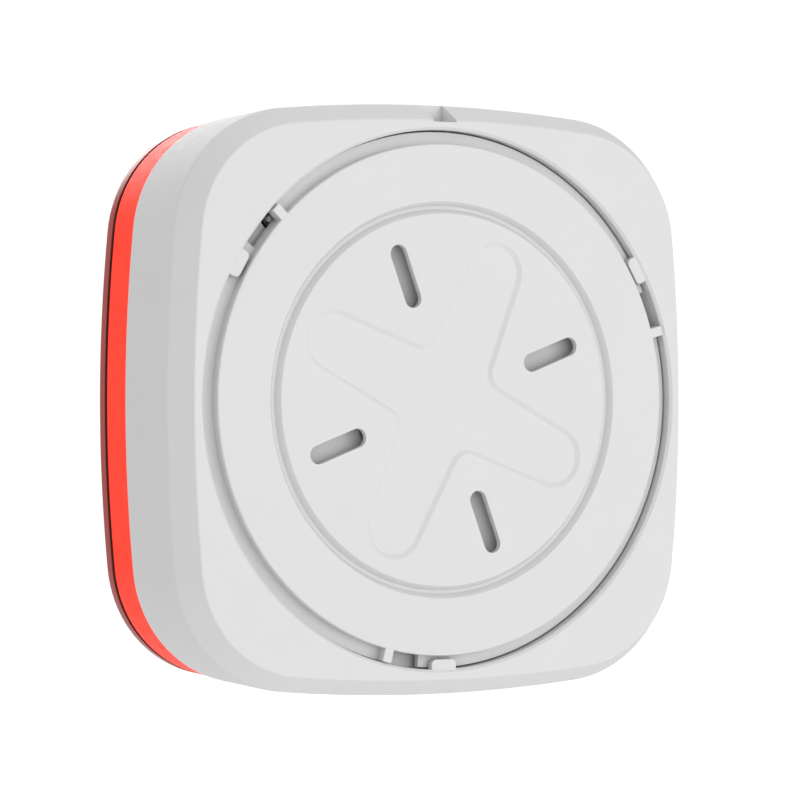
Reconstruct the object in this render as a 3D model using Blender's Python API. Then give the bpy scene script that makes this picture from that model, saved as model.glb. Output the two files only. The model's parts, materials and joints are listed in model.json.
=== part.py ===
"""Square battery smoke alarm with an all-round red light frame, on a round bayonet mounting plate.

The wall lies in the plane y = 0 and the room is on the -Y side. The origin is the bayonet axis on the
wall, +Z is up. All sizes below are millimetres; MM turns them into Blender's metres.
"""

import math

import bmesh
import bpy
from mathutils import Matrix, Vector

MM = 0.001
GAP = 0.3

# Case outline: a square with slightly bowed sides and round corners.
HALF = 75.0
SIDE_RADIUS = 436.0
CORNER_RADIUS = 33.0
SIDE_STEPS = 6
CORNER_STEPS = 7
FACET_ALLOWANCE = 1.002

# Depths along the case, from the wall to the room.
BACK_Y = -0.4
CHAMFER_Y = -7.7
HOUSING_RIM_Y = -32.7
FRAME_END_Y = -45.3
SEAL_START_Y = -45.6
SEAL_END_Y = -46.4
PANEL_START_Y = -46.7
FRONT_Y = -51.5

# Half widths of the outline at those depths.
BACK_HALF = 70.8
RIM_HALF = 74.1
FRAME_END_HALF = 73.2
WALL = 2.0

# Round recess in the back, which takes the mounting plate.
RECESS_RADIUS = 68.3
RECESS_CHAMFER = 0.7
RECESS_FLOOR_Y = -7.0
FLOOR_THICK = 2.0
CAVITY_Y = RECESS_FLOOR_Y - FLOOR_THICK

# Mounting plate.
DISC_RADIUS = 64.7
FLANGE_RADIUS = 67.9
FLANGE_Y = -3.45
FLANGE_THICK = 1.65
PLATE_THICK = 1.7
PLATE_SEGMENTS = 60
GROOVE_INNER = 47.1
GROOVE_OUTER = 50.2
GROOVE_DEPTH = 1.8
GROOVE_WALL = 1.15
RIDGE_BACK_Y = -2.8
CROSS_DEPTH = 1.0
CROSS_WALL = 1.08
CROSS_CAP_RADIUS = 7.84
CROSS_CAP_AT = 35.5
CROSS_FILLET = 4.05
CROSS_TAPER = math.radians(4.0)
CROSS_ANGLE = 65.5
SLOT_ANGLE = 20.5
SLOT_RADIUS = 33.15
SLOT_WIDTH = 4.7
SLOT_LENGTH = 16.6

# Bayonet, three times round. Angles are counted anticlockwise as seen from the wall.
HOOK_ANGLE = 30.0
HOOK_WIDTH = 7.2
HOOK_INNER = 65.6
HOOK_START_Y = -0.95
HOOK_THICK = 2.15
HOOK_CORNER = 1.4
HOOK_CORNER_STEPS = 4
NOTCH_FROM = 16.0
NOTCH_TO = 24.6
RIB_ANGLE = 15.5
RIB_WIDTH = 2.5
RIB_END = 68.0
RIB_CORNER = 0.4

# Notch in the top of the back chamfer.
KEY_HALF_WIDTH = 3.4
KEY_START_Z = 70.3
KEY_FLOOR_Y = -8.3

# Boards and screws.
BOARD_REAR_Y = -28.5
BOARD_THICK = 1.6
BOARD_FRONT_Y = BOARD_REAR_Y - BOARD_THICK
BOARD_HALF = 66.0
CASE_SCREW_AT = 62.0
BOARD_SCREW_X = 54.0
BOARD_SCREW_Z = 28.0
LED_BOARD_Y = -35.8

# Front fittings.
INLET_HOLE = 30.7
BUTTON_Z = -47.5
BUTTON_RADIUS = 7.5
LENS_Z = 46.0
SOUNDER_X = -38.0
SOUNDER_Z = 38.0
SOUNDER_RADIUS = 15.0

# Rear fittings in the floor of the recess.
TAMPER_ANGLE = 135.9
TAMPER_RADIUS = 64.7
TAMPER_HOLE = 2.8
POWER_ANGLE = 65.0
POWER_RADIUS = 50.0
POWER_HOLE = 3.3
HATCH_RADIUS = 23.5
PAD_RADIUS = 46.0
PAD_HEIGHT = 1.4
FLOOR_CUT_Y = RECESS_FLOOR_Y + PAD_HEIGHT + 0.4
CELL_RADIUS = 7.7


def clear_scene():
    for obj in list(bpy.data.objects):
        bpy.data.objects.remove(obj, do_unlink=True)


# ---------------------------------------------------------------- materials


def material(name, colour, roughness, metallic=0.0):
    found = bpy.data.materials.get(name)
    if found:
        return found
    made = bpy.data.materials.new(name)
    made.use_nodes = True
    shader = made.node_tree.nodes["Principled BSDF"]
    shader.inputs["Base Color"].default_value = (*colour, 1.0)
    shader.inputs["Roughness"].default_value = roughness
    shader.inputs["Metallic"].default_value = metallic
    made.diffuse_color = (*colour, 1.0)
    return made


def white_plastic():
    return material("white_plastic", (0.78, 0.78, 0.78), 0.45)


def red_diffuser():
    return material("red_diffuser", (1.0, 0.09, 0.05), 0.35)


def smoked_plastic():
    return material("smoked_plastic", (0.06, 0.03, 0.03), 0.1)


def black_rubber():
    return material("black_rubber", (0.02, 0.02, 0.02), 0.7)


def black_plastic():
    return material("black_plastic", (0.03, 0.03, 0.03), 0.5)


def clear_plastic():
    return material("clear_plastic", (0.8, 0.85, 0.85), 0.1)


def board_laminate():
    return material("board_laminate", (0.02, 0.16, 0.06), 0.4)


def steel():
    return material("steel", (0.6, 0.6, 0.6), 0.3, 1.0)


def brass():
    return material("brass", (0.7, 0.5, 0.2), 0.35, 1.0)


def cell_sleeve():
    return material("cell_sleeve", (0.08, 0.12, 0.3), 0.35)


def led_body():
    return material("led_body", (0.9, 0.75, 0.5), 0.25)


# ---------------------------------------------------------------- geometry helpers


def at_angle(radius, degrees):
    """A point (x, z) at an angle counted anticlockwise as seen from the wall, where +X is on the left."""
    turn = math.radians(degrees)
    return -radius * math.cos(turn), radius * math.sin(turn)


def finish(name, bm, look, x=0.0, y=0.0, z=0.0, body=None):
    """Turns a bmesh held in millimetres into an object with its faces pointing out."""
    bmesh.ops.remove_doubles(bm, verts=bm.verts, dist=1e-5)
    bmesh.ops.recalc_face_normals(bm, faces=bm.faces)
    bmesh.ops.scale(bm, vec=(MM, MM, MM), verts=bm.verts)
    mesh = bpy.data.meshes.new(name)
    bm.to_mesh(mesh)
    bm.free()
    mesh.shade_smooth()
    mesh.set_sharp_from_angle(angle=math.radians(35))
    obj = bpy.data.objects.new(name, mesh)
    bpy.context.scene.collection.objects.link(obj)
    obj.location = (x * MM, y * MM, z * MM)
    if look:
        mesh.materials.append(look)
    if body:
        obj.parent = body
    return obj


def helper(name, bm):
    """A cutter or an addition: used by a Boolean and never rendered."""
    obj = finish(name, bm, None)
    obj.hide_render = True
    obj.display_type = "WIRE"
    return obj


def boolean(target, operand, operation):
    step = target.modifiers.new(operand.name, "BOOLEAN")
    step.operation = operation
    step.solver = "EXACT"
    step.object = operand


def squircle(half, y):
    """The case outline, offset inwards from HALF to the given half width, at depth y."""
    inset = HALF - half
    side = SIDE_RADIUS - inset
    corner = CORNER_RADIUS - inset
    side_centre = half - side
    reach = side - corner
    corner_at = (side_centre + math.sqrt(2 * reach * reach - side_centre * side_centre)) / 2
    split = math.atan2(corner_at, corner_at - side_centre)
    quadrant = []
    for step in range(SIDE_STEPS + 1):
        turn = split * (2 * step / SIDE_STEPS - 1)
        quadrant.append((side_centre + side * math.cos(turn), side * math.sin(turn)))
    for step in range(1, CORNER_STEPS):
        turn = split + (math.pi / 2 - 2 * split) * step / CORNER_STEPS
        quadrant.append((corner_at + corner * math.cos(turn), corner_at + corner * math.sin(turn)))
    loop = []
    for quarter in range(4):
        spin = Matrix.Rotation(quarter * math.pi / 2, 2)
        for point in quadrant:
            turned_point = spin @ Vector(point)
            loop.append((turned_point.x, y, turned_point.y))
    return loop


def round_loop(radius, y):
    """A circle on the rays of the case outline, enlarged so that its facets lie on the true radius."""
    loop = []
    for x, _, z in squircle(HALF, y):
        scale = radius * FACET_ALLOWANCE / math.hypot(x, z)
        loop.append((x * scale, y, z * scale))
    return loop


def loft(bm, loops, closed):
    """Bridges loops of equal length. A closed loft joins the last to the first; an open one gets end caps."""
    rings = [[bm.verts.new(point) for point in loop] for loop in loops]
    pairs = list(zip(rings, rings[1:]))
    if closed:
        pairs.append((rings[-1], rings[0]))
    else:
        bm.faces.new(rings[0])
        bm.faces.new(list(reversed(rings[-1])))
    count = len(rings[0])
    for first, second in pairs:
        for here in range(count):
            there = (here + 1) % count
            bm.faces.new((first[here], second[here], second[there], first[there]))


def turn_profile(bm, profile, segments, x=0.0, z=0.0):
    """Spins a closed outline of (radius, y) points about the line through (x, z) along Y."""
    before = set(bm.verts)
    corners = [bm.verts.new((radius, y, 0)) for radius, y in profile]
    edges = []
    for first, last in zip(corners, corners[1:] + corners[:1]):
        if first.co.x or last.co.x:
            edges.append(bm.edges.new((first, last)))
    bmesh.ops.spin(
        bm,
        geom=corners + edges,
        cent=(0, 0, 0),
        axis=(0, 1, 0),
        angle=2 * math.pi,
        steps=segments,
        use_merge=True,
    )
    turned = [vert for vert in bm.verts if vert not in before]
    bmesh.ops.remove_doubles(bm, verts=turned, dist=1e-5)
    turned = [vert for vert in bm.verts if vert not in before]
    bmesh.ops.translate(bm, verts=turned, vec=(x, 0, z))


def cylinder(bm, radius, near, far, segments, x=0.0, z=0.0):
    turn_profile(bm, [(0, near), (radius, near), (radius, far), (0, far)], segments, x, z)


def prism(bm, outline, near, far):
    """A straight prism along Y on an outline of (x, z) points."""
    loft(bm, [[(x, y, z) for x, z in outline] for y in (near, far)], closed=False)


def box(bm, x_from, x_to, y_from, y_to, z_from, z_to, turn=0.0):
    """A box along the axes, then turned by an angle about the Y axis through the origin."""
    centre = Vector(((x_from + x_to) / 2, (y_from + y_to) / 2, (z_from + z_to) / 2))
    size = Vector((abs(x_to - x_from), abs(y_to - y_from), abs(z_to - z_from)))
    place = Matrix.Rotation(turn, 4, "Y") @ Matrix.Translation(centre) @ Matrix.Diagonal((*size, 1))
    bmesh.ops.create_cube(bm, size=1.0, matrix=place)


def rounded_bar(length_from, length_to, width, degrees, steps):
    """An outline along a ray at the given angle, with a half round at each end."""
    radius = width / 2
    outline = []
    for end, start in ((length_to - radius, -90), (length_from + radius, 90)):
        for step in range(steps + 1):
            turn = math.radians(start + 180 * step / steps)
            along = end + radius * math.cos(turn)
            across = radius * math.sin(turn)
            x, z = at_angle(1, degrees)
            side_x, side_z = at_angle(1, degrees + 90)
            outline.append((x * along + side_x * across, z * along + side_z * across))
    return outline


def sector(inner, outer, start, end, steps):
    """The outline of a piece of a ring between two angles."""
    outline = []
    for radius, first, last in ((outer, start, end), (inner, end, start)):
        for step in range(steps + 1):
            outline.append(at_angle(radius, first + (last - first) * step / steps))
    return outline


def coil(name, look, x, y, z, radius_from, radius_to, length, turns, wire, body, along_x=False):
    """A compression spring from the given point along +Y or +X, as a wire of round section."""
    per_turn = 10
    count = turns * per_turn + 1
    curve = bpy.data.curves.new(name, "CURVE")
    curve.dimensions = "3D"
    curve.bevel_depth = wire * MM
    curve.bevel_resolution = 0
    curve.use_fill_caps = True
    spline = curve.splines.new("POLY")
    spline.points.add(count - 1)
    for index, point in enumerate(spline.points):
        share = index / (count - 1)
        turn = 2 * math.pi * index / per_turn
        radius = radius_from + (radius_to - radius_from) * share
        across = radius * math.cos(turn)
        up = radius * math.sin(turn)
        along = length * share
        where = (along, across, up) if along_x else (across, along, up)
        point.co = (*[value * MM for value in where], 1.0)
    curve.materials.append(look)
    obj = bpy.data.objects.new(name, curve)
    bpy.context.scene.collection.objects.link(obj)
    obj.location = (x * MM, y * MM, z * MM)
    obj.parent = body
    return obj


def pan_screw(name, body, x, z, head_y, head_radius, shank_radius, length):
    """A pan-head screw driven towards the room when its length is positive, towards the wall otherwise."""
    way = -1 if length > 0 else 1
    head = 1.9
    profile = [
        (0, head_y),
        (head_radius * 0.8, head_y),
        (head_radius, head_y + way * 0.6),
        (head_radius, head_y + way * head),
        (shank_radius, head_y + way * head),
        (shank_radius, head_y - length),
        (0, head_y - length),
    ]
    bm = bmesh.new()
    turn_profile(bm, profile, 10)
    screw = finish(name, bm, steel(), x, 0, z, body)
    cutter = bmesh.new()
    reach = head_radius * 0.55
    depth = 0.9
    far = head_y - way * 0.5
    near = head_y + way * depth
    box(cutter, x - reach, x + reach, far, near, z - 0.35, z + 0.35)
    first = helper(name + "_slot_a", cutter)
    cutter = bmesh.new()
    box(cutter, x - 0.35, x + 0.35, far, near, z - reach, z + reach)
    second = helper(name + "_slot_b", cutter)
    boolean(screw, first, "DIFFERENCE")
    boolean(screw, second, "DIFFERENCE")
    return screw


def case_screw_places():
    at = CASE_SCREW_AT
    return [(at, 0), (0, at), (-at, 0), (0, -at)]


def board_screw_places():
    return [(x, z) for x in (-BOARD_SCREW_X, BOARD_SCREW_X) for z in (-BOARD_SCREW_Z, BOARD_SCREW_Z)]


# ---------------------------------------------------------------- mounting plate


def cross_outline(inset):
    """The four-armed recess: round arm ends, tapering arms and filleted inner corners."""
    cap = CROSS_CAP_RADIUS - inset
    fillet = CROSS_FILLET + inset
    side_distance = CROSS_CAP_AT * math.sin(CROSS_TAPER) + CROSS_CAP_RADIUS
    share = (math.sin(CROSS_TAPER) + math.cos(CROSS_TAPER)) / math.sqrt(2)
    fillet_at = (side_distance + CROSS_FILLET) / share
    half_turn = 90 - math.degrees(CROSS_TAPER)
    outline = []
    for arm in range(4):
        angle = CROSS_ANGLE + 90 * arm
        centre = at_angle(CROSS_CAP_AT, angle)
        for step in range(9):
            x, z = at_angle(cap, angle + half_turn * (step / 4 - 1))
            outline.append((centre[0] + x, centre[1] + z))
        centre = at_angle(fillet_at, angle + 45)
        for step in range(5):
            turn = angle + 45 + 180 + (half_turn - 45) * (1 - step / 2)
            x, z = at_angle(fillet, turn)
            outline.append((centre[0] + x, centre[1] + z))
    return outline


def plate_profile():
    """Half section of the plate: its groove is backed by a ridge, and its rim carries the bayonet flange."""
    floor_inner = GROOVE_INNER + GROOVE_WALL
    floor_outer = GROOVE_OUTER - GROOVE_WALL
    flange_front = FLANGE_Y - FLANGE_THICK
    return [
        (0, 0),
        (GROOVE_INNER, 0),
        (floor_inner, -GROOVE_DEPTH),
        (floor_outer, -GROOVE_DEPTH),
        (GROOVE_OUTER, 0),
        (DISC_RADIUS - 0.5, 0),
        (DISC_RADIUS, -0.5),
        (DISC_RADIUS, FLANGE_Y),
        (FLANGE_RADIUS, FLANGE_Y),
        (FLANGE_RADIUS, flange_front),
        (DISC_RADIUS - 1.6, flange_front),
        (DISC_RADIUS - 1.6, -PLATE_THICK),
        (GROOVE_OUTER + 1.1, -PLATE_THICK),
        (GROOVE_OUTER, RIDGE_BACK_Y),
        (GROOVE_INNER, RIDGE_BACK_Y),
        (GROOVE_INNER - 1.1, -PLATE_THICK),
        (0, -PLATE_THICK),
    ]


def on_ray(flat, angle):
    """Turns points (along, across) a ray at the given angle into (x, z) points."""
    ray = at_angle(1, angle)
    side = at_angle(1, angle + 90)
    return [(ray[0] * u + side[0] * v, ray[1] * u + side[1] * v) for u, v in flat]


def rib_outline(angle):
    """A stop rib that crosses the gap round the disc, with its outer corners cut off."""
    half = RIB_WIDTH / 2
    short = RIB_END - RIB_CORNER
    narrow = half - RIB_CORNER
    inner = DISC_RADIUS - 1.2
    flat = [(inner, -half), (short, -half), (RIB_END, -narrow)]
    flat += [(RIB_END, narrow), (short, half), (inner, half)]
    return on_ray(flat, angle)


def mounting_plate():
    bm = bmesh.new()
    turn_profile(bm, plate_profile(), PLATE_SEGMENTS)
    plate = finish("mounting_plate", bm, white_plastic())
    ribs = bmesh.new()
    for third in range(3):
        angle = RIB_ANGLE + 120 * third
        prism(ribs, rib_outline(angle), -0.2, FLANGE_Y - 0.5)
    boolean(plate, helper("plate_ribs", ribs), "UNION")
    recess = bmesh.new()
    over = 0.5
    slope = CROSS_WALL / CROSS_DEPTH
    levels = ((-over * slope, over), (CROSS_WALL, -CROSS_DEPTH))
    loft(recess, [[(x, y, z) for x, z in cross_outline(inset)] for inset, y in levels], closed=False)
    boolean(plate, helper("plate_cross", recess), "DIFFERENCE")
    openings = bmesh.new()
    reach = SLOT_LENGTH / 2
    for quarter in range(4):
        angle = SLOT_ANGLE + 90 * quarter
        outline = rounded_bar(SLOT_RADIUS - reach, SLOT_RADIUS + reach, SLOT_WIDTH, angle, 8)
        prism(openings, outline, 1, -3)
    for third in range(3):
        turn = 120 * third
        outline = sector(DISC_RADIUS + 0.02, FLANGE_RADIUS + 1, NOTCH_FROM + turn, NOTCH_TO + turn, 3)
        prism(openings, outline, FLANGE_Y + 0.3, FLANGE_Y - FLANGE_THICK - 1)
    boolean(plate, helper("plate_openings", openings), "DIFFERENCE")
    return plate


# ---------------------------------------------------------------- rear housing


def tamper_place():
    return at_angle(TAMPER_RADIUS, TAMPER_ANGLE)


def power_place():
    return at_angle(POWER_RADIUS, POWER_ANGLE)


def housing_additions():
    """Screw tubes, board posts, the tamper guide, the three bayonet hooks and the raised pad of the floor."""
    bm = bmesh.new()
    for x, z in case_screw_places():
        cylinder(bm, 4.4, CAVITY_Y + 1, HOUSING_RIM_Y, 12, x, z)
    for x, z in board_screw_places():
        cylinder(bm, 3.2, CAVITY_Y + 1, BOARD_REAR_Y + GAP, 10, x, z)
    x, z = tamper_place()
    cylinder(bm, 6.0, CAVITY_Y + 1, -15, 16, x, z)
    for third in range(3):
        angle = HOOK_ANGLE + 120 * third
        prism(bm, hook_outline(angle), HOOK_START_Y, HOOK_START_Y - HOOK_THICK)
    cylinder(bm, PAD_RADIUS, RECESS_FLOOR_Y + PAD_HEIGHT, CAVITY_Y + 1, 48)
    return helper("housing_additions", bm)


def hook_outline(angle):
    """A tab with rounded inner corners, rooted in the wall of the recess."""
    half = HOOK_WIDTH / 2
    root = RECESS_RADIUS + 0.5
    flat = [(root, -half), (root, half)]
    for first, centre in ((90, half - HOOK_CORNER), (180, HOOK_CORNER - half)):
        for step in range(HOOK_CORNER_STEPS + 1):
            turn = math.radians(first + 90 * step / HOOK_CORNER_STEPS)
            along = HOOK_INNER + HOOK_CORNER * (1 + math.cos(turn))
            flat.append((along, centre + HOOK_CORNER * math.sin(turn)))
    return on_ray(flat, angle)


def housing_holes():
    """Screw holes, board pilots, the tamper and power openings, the battery opening and the key notch."""
    bm = bmesh.new()
    above = FLOOR_CUT_Y
    for x, z in case_screw_places():
        seat = RECESS_FLOOR_Y - 2.9
        profile = [(0, above), (3.3, above), (3.3, seat), (1.75, seat), (1.75, HOUSING_RIM_Y - 1)]
        turn_profile(bm, profile + [(0, HOUSING_RIM_Y - 1)], 12, x, z)
    for x, z in board_screw_places():
        cylinder(bm, 1.3, BOARD_REAR_Y + 10, BOARD_REAR_Y - 1, 8, x, z)
    x, z = tamper_place()
    profile = [(0, above), (TAMPER_HOLE, above), (TAMPER_HOLE, CAVITY_Y)]
    profile += [(4.9, CAVITY_Y), (4.9, -16), (0, -16)]
    turn_profile(bm, profile, 16, x, z)
    x, z = power_place()
    cylinder(bm, POWER_HOLE, above, CAVITY_Y - 1, 16, x, z)
    cylinder(bm, HATCH_RADIUS, above, CAVITY_Y - 1, 40)
    box(bm, -KEY_HALF_WIDTH, KEY_HALF_WIDTH, 1, KEY_FLOOR_Y, KEY_START_Z, HALF + 2)
    return helper("housing_holes", bm)


def housing_corner_hollows():
    """Space behind the back face in the four corners, outside the round recess wall."""
    bm = bmesh.new()
    near = BACK_Y - WALL
    far = CAVITY_Y - 0.6
    narrow = BACK_HALF - WALL
    share = (near - BACK_Y) / (CHAMFER_Y - BACK_Y)
    wide_near = narrow + (HALF - BACK_HALF) * share
    loft(bm, [squircle(wide_near - 0.3, near), squircle(HALF - WALL - 0.6, far)], closed=False)
    hollows = helper("housing_corner_hollows", bm)
    core = bmesh.new()
    core_radius = RECESS_RADIUS + 5
    loft(core, [round_loop(core_radius, near + 1), round_loop(core_radius, far - 1)], closed=False)
    boolean(hollows, helper("housing_hollow_core", core), "DIFFERENCE")
    return hollows


def hatch_entries():
    """Two gaps in the rim of the battery opening, which let the hatch's lugs in."""
    bm = bmesh.new()
    box(bm, -26.2, 26.2, FLOOR_CUT_Y + 0.1, CAVITY_Y - 0.8, -5, 5, math.radians(45))
    return helper("hatch_entries", bm)


def rear_housing(body):
    bm = bmesh.new()
    loops = [
        round_loop(RECESS_RADIUS, RECESS_FLOOR_Y),
        round_loop(RECESS_RADIUS, BACK_Y - RECESS_CHAMFER),
        round_loop(RECESS_RADIUS + RECESS_CHAMFER, BACK_Y),
        squircle(BACK_HALF, BACK_Y),
        squircle(HALF, CHAMFER_Y),
        squircle(RIM_HALF, HOUSING_RIM_Y),
        squircle(RIM_HALF - WALL, HOUSING_RIM_Y),
        squircle(HALF - WALL, CAVITY_Y),
    ]
    loft(bm, loops, closed=False)
    housing = finish("rear_housing", bm, white_plastic(), body=body)
    boolean(housing, housing_corner_hollows(), "DIFFERENCE")
    boolean(housing, housing_additions(), "UNION")
    boolean(housing, housing_holes(), "DIFFERENCE")
    boolean(housing, hatch_entries(), "DIFFERENCE")
    return housing


# ---------------------------------------------------------------- light frame and front


def light_frame(body):
    """The red diffuser round the case, with a rear tongue and four screw bosses."""
    bm = bmesh.new()
    start = HOUSING_RIM_Y - GAP
    tongue = RIM_HALF - WALL - 0.35
    inner = 70.0
    loops = [
        squircle(RIM_HALF, start),
        squircle(FRAME_END_HALF, FRAME_END_Y),
        squircle(inner, FRAME_END_Y),
        squircle(inner, start + 2.8),
        squircle(tongue, start + 2.8),
        squircle(tongue, start),
    ]
    loft(bm, loops, closed=True)
    frame = finish("light_frame", bm, red_diffuser(), body=body)
    bosses = bmesh.new()
    boss_end = -44.5
    for x, z in case_screw_places():
        cylinder(bosses, 3.6, start, boss_end, 16, x, z)
    boolean(frame, helper("frame_bosses", bosses), "UNION")
    webs = bmesh.new()
    for quarter in range(4):
        box(webs, CASE_SCREW_AT + 2.5, 71.2, -38.2, boss_end, -1.5, 1.5, quarter * math.pi / 2)
    boolean(frame, helper("frame_webs", webs), "UNION")
    holes = bmesh.new()
    for x, z in case_screw_places():
        cylinder(holes, 1.75, start + 1, boss_end - 1, 12, x, z)
    boolean(frame, helper("frame_holes", holes), "DIFFERENCE")
    return frame


def panel_seal(body):
    bm = bmesh.new()
    outer = FRAME_END_HALF - 0.15
    levels = [(outer, SEAL_START_Y), (outer, SEAL_END_Y), (70.3, SEAL_END_Y), (70.3, SEAL_START_Y)]
    loft(bm, [squircle(half, y) for half, y in levels], closed=True)
    return finish("panel_seal", bm, black_rubber(), body=body)


def front_panel(body):
    """The smoked cover, a shallow tray with a rounded rim and openings for what it carries."""
    edge = 2.4
    rim = FRAME_END_HALF - 0.2
    start_half = FRAME_END_HALF - 0.05
    bm = bmesh.new()
    loops = [squircle(rim - 2.5, FRONT_Y + 2.1), squircle(rim - 2.1, PANEL_START_Y)]
    loops.append(squircle(start_half, PANEL_START_Y))
    for step in range(4):
        turn = math.radians(30 * step)
        half = rim - edge * (1 - math.cos(turn))
        loops.append(squircle(half, FRONT_Y + edge * (1 - math.sin(turn))))
    loft(bm, loops, closed=False)
    panel = finish("front_panel", bm, smoked_plastic(), body=body)
    holes = bmesh.new()
    near = FRONT_Y + 4
    far = FRONT_Y - 1
    cylinder(holes, INLET_HOLE + 0.1, near, far, 40)
    cylinder(holes, BUTTON_RADIUS + 0.4, near, far, 24, 0, BUTTON_Z)
    cylinder(holes, 2.6, near, far, 12, 0, LENS_Z)
    for row in range(5):
        z = SOUNDER_Z + 4.2 * (row - 2)
        reach = 10 - 1.6 * abs(row - 2)
        box(holes, SOUNDER_X - reach, SOUNDER_X + reach, near, far, z - 0.9, z + 0.9)
    boolean(panel, helper("panel_holes", holes), "DIFFERENCE")
    return panel


def inlet_grille(body):
    """The smoke inlet: a low drum on the front with slots all round under a domed cap."""
    face = FRONT_Y - GAP
    profile = [
        (0, -60.6),
        (12, -60.5),
        (22, -60.1),
        (29, -59.4),
        (31, -58.8),
        (31, -58.2),
        (29, -58.2),
        (29, face - 1.0),
        (33.6, face - 1.0),
        (34, face - 0.6),
        (34, face),
        (INLET_HOLE - 0.35, face),
        (INLET_HOLE - 0.35, -46.5),
        (27, -46.5),
        (27, -58.2),
        (0, -58.2),
    ]
    bm = bmesh.new()
    turn_profile(bm, profile, 40)
    grille = finish("inlet_grille", bm, white_plastic(), body=body)
    slots = bmesh.new()
    count = 20
    for index in range(count):
        turn = 2 * math.pi * (index + 0.5) / count
        box(slots, 26, 30, -57.7, -53.4, -1.8, 1.8, turn)
    boolean(grille, helper("grille_slots", slots), "DIFFERENCE")
    return grille


def insect_screen(body):
    bm = bmesh.new()
    turn_profile(bm, [(26.2, -52), (26.6, -52), (26.6, -57.9), (26.2, -57.9)], 32)
    return finish("insect_screen", bm, steel(), body=body)


def chamber_base(body):
    """The dark cup of the optical chamber, standing on the main board."""
    floor = BOARD_FRONT_Y - GAP
    profile = [
        (0, floor),
        (22, floor),
        (22, -44.6),
        (25.5, -44.6),
        (25.5, -46),
        (20.3, -46),
        (20.3, floor - 1.6),
        (0, floor - 1.6),
    ]
    bm = bmesh.new()
    turn_profile(bm, profile, 32)
    return finish("chamber_base", bm, black_plastic(), body=body)


def chamber_cap(body):
    """The lid of the optical chamber with its ring of light-trap fins."""
    bm = bmesh.new()
    cylinder(bm, 25.6, -56.2, -57.6, 32)
    cap = finish("chamber_cap", bm, black_plastic(), body=body)
    fins = bmesh.new()
    count = 16
    for index in range(count):
        turn = 2 * math.pi * index / count
        place = Matrix.Rotation(turn, 4, "Y") @ Matrix.Translation((22.6, -51.35, 0))
        place = place @ Matrix.Rotation(math.radians(42), 4, "Y") @ Matrix.Diagonal((5.4, 10.1, 0.9, 1))
        bmesh.ops.create_cube(fins, size=1.0, matrix=place)
    boolean(cap, helper("chamber_fins", fins), "UNION")
    return cap


def chamber_diode(name, body, degrees, look):
    """A round-nosed diode that lies inside the chamber and looks at its middle."""
    radius = 2.4
    profile = [(0, 0), (radius + 0.4, 0), (radius + 0.4, 1), (radius, 1), (radius, 5.2)]
    for step in range(1, 4):
        turn = math.radians(30 * step)
        profile.append((radius * math.cos(turn), 5.2 + radius * math.sin(turn)))
    profile[-1] = (0, 5.2 + radius)
    bm = bmesh.new()
    turn_profile(bm, profile, 12)
    bmesh.ops.rotate(bm, verts=bm.verts, cent=(0, 0, 0), matrix=Matrix.Rotation(math.pi / 2, 3, "Z"))
    spin = Matrix.Rotation(math.radians(degrees), 3, "Y")
    bmesh.ops.rotate(bm, verts=bm.verts, cent=(0, 0, 0), matrix=spin)
    turn = math.radians(degrees)
    return finish(name, bm, look, 18.5 * math.cos(turn), -38, -18.5 * math.sin(turn), body)


# ---------------------------------------------------------------- boards


def main_board(body):
    bm = bmesh.new()
    loft(bm, [squircle(BOARD_HALF, BOARD_REAR_Y), squircle(BOARD_HALF, BOARD_FRONT_Y)], closed=False)
    board = finish("main_board", bm, board_laminate(), body=body)
    cuts = bmesh.new()
    near = BOARD_REAR_Y + 1
    far = BOARD_FRONT_Y - 1
    for quarter in range(4):
        box(cuts, CASE_SCREW_AT - 5, HALF, near, far, -4.9, 4.9, quarter * math.pi / 2)
    for x, z in board_screw_places():
        cylinder(cuts, 1.4, near, far, 12, x, z)
    boolean(board, helper("board_cuts", cuts), "DIFFERENCE")
    return board


def led_board(body):
    """The frame-shaped board behind the diffuser, which carries the alarm lights."""
    rear = LED_BOARD_Y
    front = LED_BOARD_Y - BOARD_THICK
    bm = bmesh.new()
    levels = [(69.4, rear), (69.4, front), (56, front), (56, rear)]
    loft(bm, [squircle(half, y) for half, y in levels], closed=True)
    board = finish("led_board", bm, board_laminate(), body=body)
    holes = bmesh.new()
    for x, z in case_screw_places():
        cylinder(holes, 4.0, rear + 1, front - 1, 16, x, z)
    boolean(board, helper("led_board_holes", holes), "DIFFERENCE")
    return board


def small_box(name, body, look, size, x, y, z, turn=0.0):
    """A moulded block of (width, depth, height) with slightly bevelled edges."""
    bm = bmesh.new()
    place = Matrix.Rotation(turn, 4, "Y") @ Matrix.Diagonal((*size, 1))
    bmesh.ops.create_cube(bm, size=1.0, matrix=place)
    bmesh.ops.bevel(bm, geom=bm.edges, offset=min(size) * 0.12, segments=1, affect="EDGES")
    return finish(name, bm, look, x, y, z, body)


def alarm_leds(body):
    at = 66.4
    y = LED_BOARD_Y - BOARD_THICK - GAP - 1.1
    number = 1
    for quarter in range(4):
        turn = quarter * math.pi / 2
        for along in (-24, 24):
            spot = Matrix.Rotation(turn, 3, "Y") @ Vector((at, 0, along))
            small_box(f"alarm_led_{number}", body, led_body(), (2.0, 2.2, 3.4), spot.x, y, spot.z, turn)
            number += 1


def tact_switch(name, body, x, z, base, way, height):
    """A square switch that stands on a board face and points along the given way."""
    half = 3.0
    step_y = base + way * (height - 0.7)
    top = base + way * height
    bm = bmesh.new()
    box(bm, -half, half, base, step_y, -half, half)
    switch = finish(name, bm, black_plastic(), x, 0, z, body)
    knob = bmesh.new()
    cylinder(knob, 1.6, step_y - way * 0.5, top, 12, x, z)
    boolean(switch, helper(name + "_knob", knob), "UNION")
    return switch


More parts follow.
